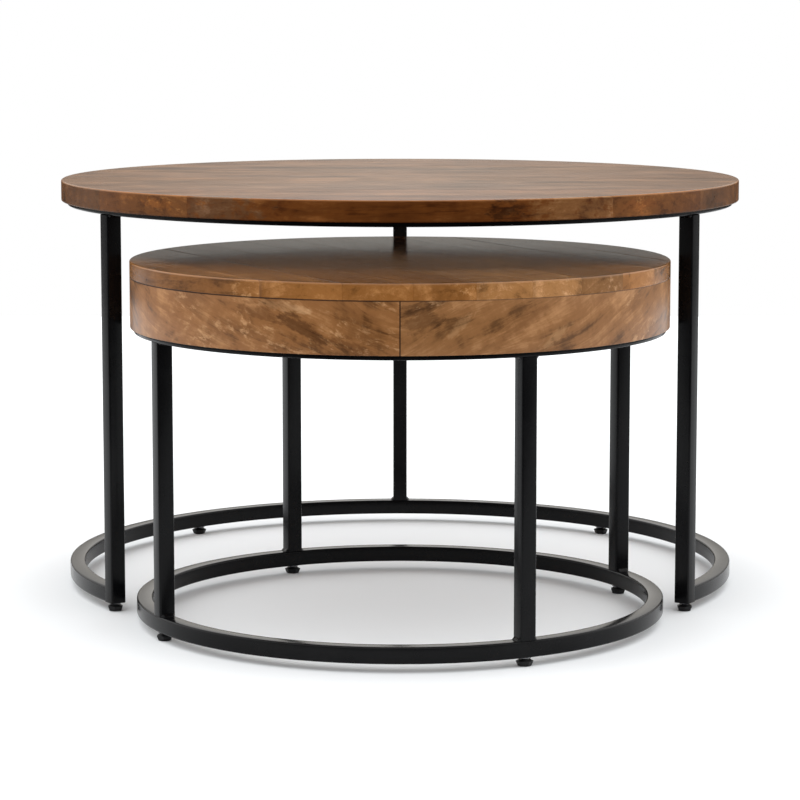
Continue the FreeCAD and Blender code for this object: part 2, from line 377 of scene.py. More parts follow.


# A soft-edged darker or lighter patch at a place on one board: the wood's own tone, and on the lid painted
# shadow of the large top's overhang
def makeStainAndShade():
    tree, given, result = newGroup("stainAndShadePatch", [
        ("Position", "Vector", None),
        ("Centre", "Vector", (0, 0, 0)),
        ("Size", "Vector", (0.05, 0.01, 0.05)),
        ("Slope", "Float", 0.0),
        ("Raggedness", "Float", 1.0),
        ("Strength", "Float", 1.0),
    ], [("Mask", "Float")])
    off = add(tree, "VectorMath", {0: given["Position"], 1: given["Centre"]}, operation="SUBTRACT").outputs[0]
    back = calc(tree, "MULTIPLY", given["Slope"], -1.0)
    off = add(tree, "VectorRotate", {"Vector": off, "Angle": back}, rotation_type="Z_AXIS").outputs[0]
    share = add(tree, "VectorMath", {0: off, 1: given["Size"]}, operation="DIVIDE").outputs[0]
    far = add(tree, "VectorMath", {0: share}, operation="LENGTH").outputs[1]
    rough = calc(tree, "SUBTRACT", cloud(tree, off, (45, 110, 110), 5.0, 5, 0.7), 0.5)
    rough = calc(tree, "MULTIPLY", rough, calc(tree, "MULTIPLY", given["Raggedness"], 5.0))
    far = calc(tree, "ADD", far, rough)
    mask = soft(tree, far, 0.35, 1.1, 1.0, 0.0)
    tree.links.new(calc(tree, "MULTIPLY", mask, given["Strength"]), result["Mask"])
    return tree


# The fine unevenness of a sprayed or moulded surface
def makeOrangePeel():
    tree, given, result = newGroup("orangePeel", [
        ("Position", "Vector", None),
        ("Size", "Float", 900.0),
        ("Tint", "Color", (0.004, 0.004, 0.0045, 1)),
        ("Haze", "Color", (0.016, 0.016, 0.017, 1)),
        ("Base Roughness", "Float", 0.3),
        ("Spread", "Float", 0.12),
    ], [("Color", "Color"), ("Roughness", "Float"), ("Height", "Float")])
    scaled = add(tree, "VectorMath", {0: given["Position"], 3: given["Size"]}, operation="SCALE").outputs[0]
    fine = add(tree, "TexNoise", {"Vector": scaled, "Scale": 1.0, "Detail": 2.0}).outputs[0]
    broad = cloud(tree, given["Position"], (14, 14, 14), 2.0, 5, 0.65)
    handled = soft(tree, broad, 0.45, 0.72)
    tree.links.new(mixColour(tree, handled, given["Tint"], given["Haze"]), result["Color"])
    uneven = calc(tree, "MULTIPLY", calc(tree, "SUBTRACT", broad, 0.5), given["Spread"])
    tree.links.new(calc(tree, "ADD", given["Base Roughness"], uneven), result["Roughness"])
    tree.links.new(fine, result["Height"])
    return tree


woodGrain = makeGrain()
stainAndShadePatch = makeStainAndShade()
orangePeel = makeOrangePeel()


# Materials

def stainedAndShaded(tree, colour, place, patches):
    for patch in patches:
        inputs = {"Position": place, "Centre": patch["at"], "Size": patch["size"],
                  "Slope": patch.get("slope", 0.0), "Strength": patch["strength"]}
        mask = useGroup(tree, stainAndShadePatch, inputs)["Mask"]
        tinted = mixColour(tree, 1.0, colour, (*patch["tint"], 1), "MULTIPLY")
        colour = mixColour(tree, mask, colour, tinted)
    return colour


def boardMaterial(name, centre, turn, look):
    material, tree, shader = newMaterial(name, IOR=look["lacquerIor"])
    where = add(tree, "TexCoord").outputs
    own = {"Location": centre, "Rotation": (0, 0, turn)}
    place = add(tree, "Mapping", {"Vector": where["Object"], **own}, vector_type="TEXTURE").outputs[0]
    facing = {"Vector": where["Normal"], "Rotation": (0, 0, turn)}
    facing = add(tree, "Mapping", facing, vector_type="TEXTURE").outputs[0]
    # the arris mark carries a painted highlight, partly edge wear
    arris = add(tree, "Attribute", attribute_name="arris").outputs["Fac"]
    highlightAndWear = calc(tree, "MULTIPLY", arris, look["highlightAndWear"])
    # the gapShade mark carries painted shade in the gaps at the joints
    gapShade = add(tree, "Attribute", attribute_name="gapShade").outputs["Fac"]
    marks = {"Highlight And Wear": highlightAndWear, "Gap Shade": gapShade}
    grain = useGroup(tree, woodGrain, {"Position": place, "Facing": facing, **marks, **look["grain"]})
    colour = stainedAndShaded(tree, grain["Color"], place, look["patches"])
    tree.links.new(colour, shader["Base Color"])
    tree.links.new(grain["Roughness"], shader["Roughness"])
    bumped(tree, shader, grain["Height"], look["relief"], 0.5)
    return material


def sprayedMaterial(name, look):
    material, tree, shader = newMaterial(name, IOR=look["ior"], Metallic=look["metallic"])
    where = add(tree, "TexCoord").outputs["Object"]
    coat = useGroup(tree, orangePeel, {"Position": where, **look["coat"]})
    tree.links.new(coat["Color"], shader["Base Color"])
    tree.links.new(coat["Roughness"], shader["Roughness"])
    bumped(tree, shader, coat["Height"], look["relief"], 0.5)
    return material


frameSteel = sprayedMaterial("frameSteel", {
    "ior": 1.22, "metallic": 0.0, "relief": 0.00004,
    "coat": {"Size": 700.0, "Tint": (0.003, 0.003, 0.0034, 1), "Haze": (0.006, 0.006, 0.0065, 1),
             "Base Roughness": 0.20, "Spread": 0.10},
})
stemSteel = sprayedMaterial("stemSteel", {
    "ior": 1.5, "metallic": 0.9, "relief": 0.00002,
    "coat": {"Size": 1500.0, "Tint": (0.05, 0.05, 0.055, 1), "Haze": (0.09, 0.09, 0.095, 1),
             "Base Roughness": 0.32, "Spread": 0.2},
})
zincSteel = sprayedMaterial("zincSteel", {
    "ior": 1.5, "metallic": 1.0, "relief": 0.00002,
    "coat": {"Size": 1200.0, "Tint": (0.13, 0.13, 0.14, 1), "Haze": (0.24, 0.24, 0.24, 1),
             "Base Roughness": 0.30, "Spread": 0.25},
})
footPlastic = sprayedMaterial("footPlastic", {
    "ior": 1.3, "metallic": 0.0, "relief": 0.00010,
    "coat": {"Size": 1800.0, "Tint": (0.006, 0.006, 0.0065, 1), "Haze": (0.013, 0.013, 0.014, 1),
             "Base Roughness": 0.45, "Spread": 0.15},
})
print("materials made")


# Round tops made of boards that run along X in the top's own frame

# One board of a round top. Every level of its outline is a pair of arcs, right and left
def boardShape(radius, low, high, bottom, top, edge):
    clearFlat, clearSide = 0.0008, 0.0006  # from the rounded edge to the next level
    levels = []  # height, inset, seam, painted highlight with edge wear on the top arris, painted shade in the joint gap on the bottom arris
    for z, up, arris in ((bottom, 1, edge["lowerArris"]), (top, -1, edge["upperArris"])):
        rounds = [(z, arris + clearFlat, edge["seam"], 0.0, 0.0)]
        for step in range(edge["steps"] + 1):
            angle = math.pi / 2 * step / edge["steps"]
            drop = arris * (1 - math.cos(angle))
            seam = max(0.0, edge["seam"] - drop)
            edgeOn = math.sin(2 * angle)
            # the top arris gets a painted highlight, partly edge wear; the bottom arris gets painted shade in
            # the joint gap
            highlitAndWorn, shadeInGap = (0.0, edge["gapShade"] * math.sin(angle)) if up > 0 else (edgeOn, 0.0)
            rounds.append((z + up * drop, arris * (1 - math.sin(angle)), seam, highlitAndWorn, shadeInGap))
        rounds.append((z + up * (arris + clearSide), 0.0, 0.0, 0.0, 0.0))
        levels.append(rounds)
    levels = levels[0] + levels[1][::-1]
    firstBoard, lastBoard = low < 0.001 - radius, high > radius - 0.001
    span = math.asin(max(-1, min(1, high / radius))) - math.asin(max(-1, min(1, low / radius)))
    count = max(12, int(span / math.radians(edge["stepAngle"])))
    loops, marks = [], {"arris": [], "gapShade": []}
    for z, inset, seam, highlitAndWorn, shadeInGap in levels:
        r = radius - inset
        start = -math.pi / 2 if firstBoard else math.asin((low + seam) / r)
        end = math.pi / 2 if lastBoard else math.asin((high - seam) / r)
        angles = [start + (end - start) * i / count for i in range(count + 1)]
        angles += [math.pi - a for a in reversed(angles)]
        loops.append([(r * math.cos(a), r * math.sin(a), z) for a in angles])
        marks["arris"] += [highlitAndWorn] * len(angles)
        marks["gapShade"] += [shadeInGap] * len(angles)
    points, faces = loft(loops, caps=False)
    last = 2 * count + 1
    for base in (0, (len(loops) - 1) * (last + 1)):
        for i in range(count):
            faces.append((base + i, base + i + 1, base + last - i - 1, base + last - i))
    return (points, faces), marks


largeTop = {
    # gapShade paints shade along the bottom arris, where the top sits on the bar
    "upperArris": 0.0019, "lowerArris": 0.0012, "seam": 0.00022, "steps": 6, "stepAngle": 0.8, "gapShade": 0.2,
    # highlightAndWear: painted highlight along the top arris, partly edge wear
    "lacquerIor": 1.23, "roughness": 0.17, "relief": 0.00008, "highlightAndWear": 0.7,
    "endGrainAndLitTint": (0.60, 0.55, 0.52), "length": 1.9,
    "boards": [
        {"dark": (0.080, 0.022, 0.004), "mid": (0.165, 0.052, 0.010), "light": (0.30, 0.115, 0.030),
         "smear": 0.5, "fleck": 0.15, "patches": [
             {"at": (0.113, 0, 0.001), "size": (0.022, 0.09, 0.012),
              "tint": (0.35, 0.35, 0.4), "strength": 0.9},
             {"at": (0.190, 0, 0), "size": (0.065, 0.09, 0.03), "tint": (1.5, 2.1, 3.6), "strength": 0.8},
             {"at": (-0.200, 0, 0), "size": (0.055, 0.09, 0.03), "tint": (0.85, 1.25, 2.6), "strength": 0.8}]},
        {"dark": (0.102, 0.036, 0.009), "mid": (0.198, 0.074, 0.019), "light": (0.372, 0.146, 0.038),
         "smear": 0.4, "fleck": 0.5, "patches": [
             {"at": (-0.268, -0.03, 0.001), "size": (0.030, 0.03, 0.006),
              "tint": (1.6, 1.5, 1.2), "strength": 0.8},
             {"at": (0.262, -0.03, 0), "size": (0.03, 0.04, 0.008),
              "tint": (1.35, 1.2, 1.1), "strength": 0.6}]},
        {"dark": (0.102, 0.045, 0.015), "mid": (0.180, 0.076, 0.025), "light": (0.300, 0.132, 0.044),
         "smear": 0.4, "fleck": 0.3, "patches": []},
        {"dark": (0.096, 0.038, 0.009), "mid": (0.198, 0.081, 0.021), "light": (0.336, 0.140, 0.040),
         "smear": 0.3, "fleck": 0.2, "patches": []},
        {"dark": (0.102, 0.040, 0.011), "mid": (0.198, 0.083, 0.025), "light": (0.324, 0.134, 0.043),
         "smear": 0.4, "fleck": 0.3, "patches": []},
        {"dark": (0.078, 0.031, 0.009), "mid": (0.174, 0.072, 0.019), "light": (0.324, 0.140, 0.040),
         "smear": 0.6, "fleck": 0.2, "patches": [
             {"at": (0.10, 0.0, 0.012), "size": (0.10, 0.016, 0.02),
              "tint": (0.55, 0.55, 0.55), "strength": 0.8},
             {"at": (-0.215, 0.0, 0.012), "size": (0.05, 0.03, 0.02),
              "tint": (1.5, 1.3, 1.0), "strength": 0.7}]},
        {"dark": (0.102, 0.040, 0.010), "mid": (0.198, 0.078, 0.021), "light": (0.360, 0.157, 0.044),
         "smear": 0.3, "fleck": 0.4, "patches": []},
        {"dark": (0.090, 0.036, 0.009), "mid": (0.174, 0.069, 0.019), "light": (0.300, 0.129, 0.036),
         "smear": 0.5, "fleck": 0.3, "patches": []},
    ],
}


def grainValues(tones, seed, roughness):
    return {
        "Seed": seed, "Dark": (*tones["dark"], 1), "Mid": (*tones["mid"], 1), "Light": (*tones["light"], 1),
        "Smear": tones["smear"], "Fleck": tones["fleck"], "Gloss Roughness": roughness,
        "End Grain And Lit Tint": (*tones.get("endGrainAndLitTint", (1, 1, 1)), 1), "Contrast": tones.get("contrast", 1.0),
    }


def makeLargeTop():
    radius, centre = largeTable["woodRadius"], largeTable["centre"]
    for number, tones in enumerate(largeTop["boards"], 1):
        node = f"large_top_board_{number}"
        low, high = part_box(node)
        shape, marks = boardShape(radius, low.y - centre.y, high.y - centre.y, low.z, high.z, largeTop)
        tones = dict(tones, endGrainAndLitTint=largeTop["endGrainAndLitTint"])
        look = dict(largeTop, grain=grainValues(tones, 11.3 * number, largeTop["roughness"]))
        look["grain"].update({"Length": largeTop["length"], "Half Width": (high.y - low.y) / 2})
        look.update(patches=tones["patches"])
        own = Vector((0, (low.y + high.y) / 2, (low.z + high.z) / 2))
        material = boardMaterial(f"largeBoard{number}", own, 0.0, look)
        makePiece(f"largeBoard{number}", placed(shape, centre), material, "large_table",
                  [node], marks=marks)


smallLid = {
    # gapShade paints shade along the bottom arris, in the gap above the drum's wall
    "upperArris": 0.0019, "lowerArris": 0.0006, "seam": 0.00022, "steps": 6, "stepAngle": 0.8, "gapShade": 0.9,
    # highlightAndWear: painted highlight along the top arris, partly edge wear
    "boardWidth": 0.062, "lacquerIor": 1.30, "roughness": 0.09, "relief": 0.00008, "highlightAndWear": 0.5,
    "dark": (0.074, 0.027, 0.006), "mid": (0.165, 0.062, 0.014), "light": (0.30, 0.128, 0.038),
    # endGrainAndLitTint lightens the lid's rim, which faces the front: painted light from the front
    "smear": 0.45, "fleck": 0.5, "contrast": 0.75, "endGrainAndLitTint": (2.1, 2.25, 2.6), "length": 1.4,
    "depths": (1.0, 0.95, 1.05, 0.66, 1.15, 1.10, 0.78, 0.85, 1.10, 1.32),
    "paleness": (0.0, 0.2, 0.2, 0.4, 0.6, 0.5, 0.0, 0.0, 0.1, 0.2),  # how much green and blue come up
    # painted shadow under the large top's overhang: a dark patch on each of these boards, by board and how far
    # along it
    "overhangShadowAt": {2: -0.11, 3: -0.14, 4: -0.12, 5: -0.13, 6: -0.08, 7: -0.02, 8: 0.0, 9: 0.05},
    "overhangShadow": {"size": (0.07, 0.045, 0.02), "tint": (0.36, 0.36, 0.36), "strength": 0.9},
}


def makeSmallLid():
    radius, centre = smallTable["woodRadius"], smallTable["centre"]
    count = len(smallLid["depths"])
    turn = smallTurn + math.pi / 2
    for number, (depth, pale) in enumerate(zip(smallLid["depths"], smallLid["paleness"]), 1):
        node = f"small_top_board_{number}"
        bottom, top = heights(node)
        low = -radius if number == 1 else (number - 1 - count / 2) * smallLid["boardWidth"]
        high = radius if number == count else (number - count / 2) * smallLid["boardWidth"]
        shape, marks = boardShape(radius, low, high, bottom, top, smallLid)
        lift = (depth, depth * (1 + 0.3 * pale), depth * (1 + pale))
        tones = {name: [a * b for a, b in zip(lift, smallLid[name])] for name in ("dark", "mid", "light")}
        shape = placed(shape, centre, turn)
        marks["gapShade"] = lessGapShade(shape[0], marks["gapShade"])
        tones.update({name: smallLid[name] for name in ("smear", "fleck", "contrast", "endGrainAndLitTint")})
        look = dict(smallLid, grain=grainValues(tones, 50 + 7.7 * number, smallLid["roughness"]), patches=[])
        # painted shadow of the large top's overhang on the lid's top
        if number in smallLid["overhangShadowAt"]:
            look["patches"] = [dict(smallLid["overhangShadow"], at=(smallLid["overhangShadowAt"][number], 0, 0.011))]
        look["grain"].update({"Length": smallLid["length"], "Half Width": (high - low) / 2})
        across = Matrix.Rotation(turn, 3, "Z") @ Vector((0, (low + high) / 2, 0))
        own = centre + across + Vector((0, 0, (bottom + top) / 2))
        material = boardMaterial(f"lidBoard{number}", own, turn, look)
        makePiece(f"lidBoard{number}", shape, material, "small_table",
                  [node], marks=marks)


# The drum's wall: two bent halves that butt at the front and at the back

apron = {
    "wall": 0.018, "seamGap": 0.0001, "edge": 0.0007, "steps": 3, "sections": 150, "endEdge": 0.0008,
    "lacquerIor": 1.28, "roughness": 0.18, "relief": 0.00012, "waviness": 0.05,
    "left": {"slope": -0.32, "seed": 4.0, "dark": (0.12, 0.048, 0.014), "mid": (0.27, 0.115, 0.038),
             "light": (0.44, 0.215, 0.085), "smear": 0.5, "fleck": 0.6, "patches": [
                 {"at": (-0.103, 0.001, 0), "size": (0.042, 0.008, 0.05), "slope": -0.5,
                  "tint": (0.42, 0.38, 0.34), "strength": 0.9},
                 {"at": (-0.045, -0.020, 0), "size": (0.045, 0.006, 0.05), "slope": -0.45,
                  "tint": (0.60, 0.55, 0.5), "strength": 0.8},
                 {"at": (-0.150, 0.014, 0), "size": (0.030, 0.008, 0.05), "slope": -0.3,
                  "tint": (0.55, 0.5, 0.45), "strength": 0.7},
                 {"at": (-0.125, 0.022, 0), "size": (0.045, 0.005, 0.05), "slope": -0.15,
                  "tint": (1.35, 1.6, 2.0), "strength": 0.8}]},
    "right": {"slope": 0.38, "seed": 9.0, "dark": (0.12, 0.052, 0.018), "mid": (0.27, 0.122, 0.044),
              "light": (0.44, 0.220, 0.092), "smear": 0.4, "fleck": 0.6, "patches": [
                  {"at": (0.022, 0.010, 0), "size": (0.024, 0.018, 0.05), "slope": 0.1,
                   "tint": (0.58, 0.56, 0.55), "strength": 0.9},
                  {"at": (0.060, 0.003, 0), "size": (0.022, 0.005, 0.05), "slope": 0.75,
                   "tint": (1.4, 1.6, 1.9), "strength": 0.8},
                  {"at": (0.168, -0.013, 0), "size": (0.024, 0.005, 0.05), "slope": 0.6,
                   "tint": (1.35, 1.55, 1.8), "strength": 0.8},
                  {"at": (0.130, 0.004, 0), "size": (0.05, 0.010, 0.05), "slope": 0.5,
                   "tint": (0.75, 0.72, 0.7), "strength": 0.7}]},
}


# The grain runs round the drum, sloping
def apronMaterial(name, tones):
    material, tree, shader = newMaterial(name, IOR=apron["lacquerIor"])
    centre = smallTable["centre"] + Vector((0, 0, middle("small_apron_left").z))
    where = add(tree, "TexCoord").outputs["Object"]
    split = add(tree, "SeparateXYZ", {
        0: add(tree, "VectorMath", {0: where, 1: centre}, operation="SUBTRACT").outputs[0],
    }).outputs
    angle = calc(tree, "ARCTAN2", split[0], calc(tree, "MULTIPLY", split[1], -1.0))
    along = calc(tree, "MULTIPLY", angle, smallTable["woodRadius"])
    squared = calc(tree, "ADD", calc(tree, "POWER", split[0], 2), calc(tree, "POWER", split[1], 2))
    inward = calc(tree, "SUBTRACT", calc(tree, "SQRT", squared), smallTable["woodRadius"])
    flat = add(tree, "CombineXYZ", {0: along, 1: split[2], 2: inward}).outputs[0]
    sloped = {"Vector": flat, "Rotation": (0, 0, tones["slope"])}
    place = add(tree, "Mapping", sloped, vector_type="TEXTURE").outputs[0]
    values = grainValues(tones, tones["seed"], apron["roughness"])
    values.update(Facing=add(tree, "CombineXYZ", {1: 1.0}).outputs[0], Waviness=apron["waviness"])
    # painted shade in the gaps at the butt joints and along the top edge
    values["Gap Shade"] = add(tree, "Attribute", attribute_name="gapShade").outputs["Fac"]
    values["Gap Shade"] = add(tree, "Clamp", {0: values["Gap Shade"]}).outputs[0]
    grain = useGroup(tree, woodGrain, {"Position": place, **values})
    tree.links.new(stainedAndShaded(tree, grain["Color"], flat, tones["patches"]), shader["Base Color"])
    tree.links.new(grain["Roughness"], shader["Roughness"])
    bumped(tree, shader, grain["Height"], apron["relief"], 0.6)
    return material


# Half the drum's wall, with eased edges all round
def apronShape(start, end, bottom, top):
    outer, edge = smallTable["woodRadius"], apron["edge"]
    ends = [0.0, apron["endEdge"] * 0.35, apron["endEdge"], apron["endEdge"] * 2]
    shrinks = [apron["endEdge"] * 0.8, apron["endEdge"] * 0.25, 0.0, 0.0]
    inner = [(start + d / outer, shrink) for d, shrink in zip(ends, shrinks)]
    first, last = inner[-1][0], end - ends[-1] / outer
    inner += [(first + (last - first) * i / apron["sections"], 0.0) for i in range(1, apron["sections"])]
    inner += [(end - d / outer, shrink) for d, shrink in reversed(list(zip(ends, shrinks)))]
    loops, gapShade = [], []
    for angle, shrink in inner:
        section = roundedRectangle(apron["wall"] - 2 * shrink, top - bottom, edge, apron["steps"])
        loop = []
        for u, v in section:
            r = outer - apron["wall"] / 2 + u
            loop.append((r * math.cos(angle), r * math.sin(angle), (bottom + top) / 2 + v))
            onTop = v > (top - bottom) / 2 - edge * 0.8
            # painted shade in the gaps: strongest at the butt joints, then along the top edge
            gapShade.append(1.4 if shrink else 0.9 if onTop else 0.0)
        loops.append(loop)
    shape = loft(loops)
    return shape, {"gapShade": lessGapShade(shape[0], gapShade)}


def makeApron():
    bottom, top = heights("small_apron_left")
    gap = apron["seamGap"] / smallTable["woodRadius"]
    for side, start in (("left", math.pi / 2), ("right", -math.pi / 2)):
        shape, marks = apronShape(start + gap, start + math.pi - gap, bottom, top)
        material = apronMaterial("apron" + side.title(), apron[side])
        makePiece("apron" + side.title(), placed(shape, smallTable["centre"]), material, "small_table",
                  ["small_apron_" + side], marks=marks)


makeLargeTop()
makeSmallLid()
makeApron()
print("wood made")


# Steel frames

steel = {"tube": 0.018, "wall": 0.0015, "corner": 0.0021, "cornerSteps": 4, "bar": 0.025, "barEdge": 0.0009,
         "ringSections": 288}


def barRing(table, node):
    bottom, top = heights(node)
    section = roundedRectangle(steel["bar"], top - bottom, steel["barEdge"], 3)
    inner = table["barRadius"] - steel["bar"] / 2
    section = [(inner + u, (bottom + top) / 2 + v) for u, v in section]
    shape = rolled(section, 0, 2 * math.pi, steel["ringSections"])
    name = node.replace("_top_", "Bar").title().replace("_", "")
    makePiece(name, placed(shape, table["centre"]), frameSteel, table["body"], [node])


def floorRing(table, node, start, end):
    bottom, top = heights(node)
    section = roundedRectangle(steel["tube"], steel["tube"], steel["corner"], steel["cornerSteps"])
    core = table["steelRadius"] - steel["tube"] / 2
    section = [(core + u, (bottom + top) / 2 + v) for u, v in section]
    shape = rolled(section, start, end, steel["ringSections"])
    name = node.replace("base_", "").replace("_", "") + "Tube"
    makePiece(name, placed(shape, table["centre"]), frameSteel, table["body"], [node])


def legTube(table, node):
    bottom, top = heights(node)
    inner = steel["tube"] - 2 * steel["wall"]
    outerLoop = roundedRectangle(steel["tube"], steel["tube"], steel["corner"], steel["cornerSteps"])
    innerLoop = roundedRectangle(inner, inner, steel["corner"] - steel["wall"], steel["cornerSteps"])
    loops = []
    for loop, z in ((outerLoop, bottom), (outerLoop, top), (innerLoop, top), (innerLoop, bottom)):
        loops.append([(u, v, z) for u, v in loop])
    spot = middle(node)
    turn = turnAbout(spot, table["centre"])
    shape = placed(loft(loops, around=True), Vector((spot.x, spot.y, 0)), turn)
    makePiece("tube_" + node, shape, frameSteel, table["body"], [node])


weld = {"throat": 0.0030, "ripple": 0.03, "wave": 0.0028, "uneven": 0.18, "lumpsPerMetre": 220, "hollow": 0.22,
        "sunk": 0.0004, "thinEnd": 0.25, "sections": 44, "roundness": 6}


# A fillet between two faces that meet along start to end; sideA and sideB point away from the corner
def weldBead(start, end, sideA, sideB, seed):
    start, end = Vector(start), Vector(end)
    along = end - start
    loops = []
    for i in range(weld["sections"] + 1):
        t = i / weld["sections"]
        taper = min(1.0, 6 * t + weld["thinEnd"], 6 * (1 - t) + weld["thinEnd"])
        ripple = 1 + weld["ripple"] * math.sin(2 * math.pi * t * along.length / weld["wave"])
        lump = Vector((t * along.length * weld["lumpsPerMetre"], seed, 0))
        uneven = 1 + weld["uneven"] * noise.noise(lump)
        size = weld["throat"] * taper * ripple * uneven
        spot = start + along * t
        loop = [spot - sideA * weld["sunk"] - sideB * weld["sunk"]]
        for step in range(weld["roundness"] + 1):
            angle = math.pi / 2 * step / weld["roundness"]
            bulge = 1 - weld["hollow"] * math.sin(2 * angle)
            loop.append(spot + (sideA * math.cos(angle) + sideB * math.sin(angle)) * size * bulge)
        loops.append(loop)
    return loft(loops)


# Beads along the two faces of a leg that look round the ring, and the inner one at the top
def legWelds(table, node, atBottom, atTop):
    bottom, top = heights(node)
    spot = middle(node)
    turn = turnAbout(spot, table["centre"])
    half = steel["tube"] / 2
    reach = half - steel["corner"] * 0.6
    beads = []
    seed = spot.x * 40 + spot.y * 90
    for z, rise, wanted in ((bottom, 1, atBottom), (top, -1, atTop)):
        if not wanted:
            continue
        for side in (1, -1):
            beads.append(weldBead((-reach, side * half, z), (reach, side * half, z),
                                  Vector((0, side, 0)), Vector((0, 0, rise)), seed + side + z))
        if z == top:
            beads.append(weldBead((-half, -reach, z), (-half, reach, z),
                                  Vector((-1, 0, 0)), Vector((0, 0, rise)), seed + z))
    return placed(joined(beads), Vector((spot.x, spot.y, 0)), turn)


def makeLargeFrame():
    legs = {side: "large_leg_" + side for side in ("left", "right", "back")}
    turns = {side: turnAbout(middle(node), largeTable["centre"]) for side, node in legs.items()}
    core = largeTable["steelRadius"] - steel["tube"] / 2
    # the ring's ends run into the legs' rounded corners
    beside = math.asin((steel["tube"] / 2 - steel["wall"]) / core)
    floorRing(largeTable, "large_base_ring", turns["right"] + beside, turns["left"] % (2 * math.pi) - beside)
    barRing(largeTable, "large_top_ring")
    ringTop = heights("large_base_ring")[1]
    beads = []
    for side, node in legs.items():
        legTube(largeTable, node)
        beads.append(legWelds(largeTable, node, side == "back", True))
    for side, way in (("left", -1), ("right", 1)):  # the ring's end against the side of a front leg
        half = steel["tube"] / 2
        reach = half - steel["corner"] * 0.6
        bead = weldBead((-reach, way * half, ringTop), (reach, way * half, ringTop),
                        Vector((0, way, 0)), Vector((0, 0, 1)), 3.0 * way)
        spot = middle(legs[side])
        beads.append(placed(bead, Vector((spot.x, spot.y, 0)), turns[side]))
    makePiece("largeWelds", joined(beads), frameSteel, "large_table", sharpAt=70)


def makeSmallFrame():
    floorRing(smallTable, "small_base_ring", 0, 2 * math.pi)
    barRing(smallTable, "small_top_ring")
    beads = []
    for place in footPlaces:
        node = "small_leg_" + place
        legTube(smallTable, node)
        beads.append(legWelds(smallTable, node, True, True))
    makePiece("smallWelds", joined(beads), frameSteel, "small_table", sharpAt=70)


makeLargeFrame()
makeSmallFrame()
finishes = {"large_leg_plugs": frameSteel, "large_foot_nuts": zincSteel, "small_foot_nuts": zincSteel}
for node, metal in finishes.items():
    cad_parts[node].data.materials.clear()
    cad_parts[node].data.materials.append(metal)
print("frames made")


# Levelling feet

foot = {"pitch": 0.00125, "threadDepth": 0.00065, "tip": 0.0008, "rowsPerTurn": 7, "columns": 28,
        "columnsOnPad": 72}


def stemShape(radius, bottom, top):
    rows = int((top - bottom) / foot["pitch"] * foot["rowsPerTurn"])
    loops = []
    for row in range(rows + 1):
        z = bottom + (top - bottom) * row / rows
        chamfer = max(0.0, z - (top - foot["tip"]))
        loop = []
        for column in range(foot["columns"]):
            angle = 2 * math.pi * column / foot["columns"]
            turn = (z / foot["pitch"] - angle / (2 * math.pi)) % 1.0
            groove = foot["threadDepth"] * max(0.0, 1 - abs(turn - 0.5) * 2.4)
            r = radius - max(groove, chamfer)
            loop.append((r * math.cos(angle), r * math.sin(angle), z))
        loops.append(loop)
    return loft(loops)


# A moulded foot: round sole, six-sided grip, round collar
def padShape(size, height, stemRadius):
    corner, columns = size / 2, foot["columnsOnPad"]
    levels = [  # height, radius and how six-sided, as shares
        (0.00, 0.72, 0.0), (0.00, 0.765, 0.1), (0.03, 0.79, 0.2), (0.10, 0.805, 0.6), (0.30, 0.855, 1.0),
        (0.60, 0.945, 1.0), (0.69, 0.970, 1.0), (0.735, 0.972, 0.95), (0.77, 0.945, 0.9), (0.80, 0.90, 0.7),
        (0.86, 0.78, 0.3), (0.93, 0.70, 0.0), (0.985, 0.68, 0.0), (1.0, 0.655, 0.0),
    ]
    loops = []
    for rise, share, sixSided in levels:
        loop = []
        for column in range(columns):
            angle = 2 * math.pi * column / columns
            fromFlat = (angle % (math.pi / 3)) - math.pi / 6
            flat = math.cos(math.pi / 6) / math.cos(fromFlat)
            flat = min(flat, 0.985)  # corners are rounded off
            r = corner * share * (sixSided * flat + (1 - sixSided) * 0.95)
            loop.append((r * math.cos(angle), r * math.sin(angle), rise * height))
        loops.append(loop)
    loops.append(circle(stemRadius, height - 0.0004, columns))
    return loft(loops)


def makeFeet():
    for table, size in ((largeTable, "large"), (smallTable, "small")):
        for place in footPlaces:
            stemNode, padNode = f"{size}_foot_stem_{place}", f"{size}_foot_pad_{place}"
            spot = middle(stemNode)
            turn = turnAbout(spot, table["centre"])
            ground = Vector((spot.x, spot.y, 0))
            bottom, top = heights(stemNode)
            radius = sizeOf(stemNode).x / 2
            shape = placed(stemShape(radius, bottom, top), ground)
            makePiece(f"stem_{size}_{place}", shape, stemSteel, f"{size}_foot_{place}_stem",
                      [stemNode], sharpAt=60)
            across = max(sizeOf(padNode).x, sizeOf(padNode).y)
            low, high = heights(padNode)
            shape = placed(padShape(across, high - low, radius + 0.0001), ground, turn)
            makePiece(f"pad_{size}_{place}", shape, footPlastic, f"{size}_foot_{place}_pad",
                      [padNode], sharpAt=50)


makeFeet()
print("feet made")


# Screws and glue blocks, seen from below

screw = {"recess": 0.0022, "slot": 0.0005, "deep": 0.0013, "count": 8, "cone": 0.0022, "shank": 0.002,
         "rows": 16, "columns": 56, "firstAngle": 22.5}


# A countersunk head, flush with the bar, with a cross recess; seen from below
def screwHead(headRadius, seat):
    rows, columns = screw["rows"], screw["columns"]
    loops = [circle(screw["shank"], seat + screw["cone"], columns),
             circle(headRadius - 0.00015, seat + 0.0001, columns)]
    for row in range(rows):
        r = (headRadius - 0.00025) * (1 - row / rows)
        loop = []
        for column in range(columns):
            angle = 2 * math.pi * column / columns
            x, y = r * math.cos(angle), r * math.sin(angle)
            inCross = min(abs(x), abs(y)) < screw["slot"] and r < screw["recess"]
            loop.append((x, y, seat + 0.00002 + (screw["deep"] if inCross else 0.0)))
        loops.append(loop)
    return loft(loops)


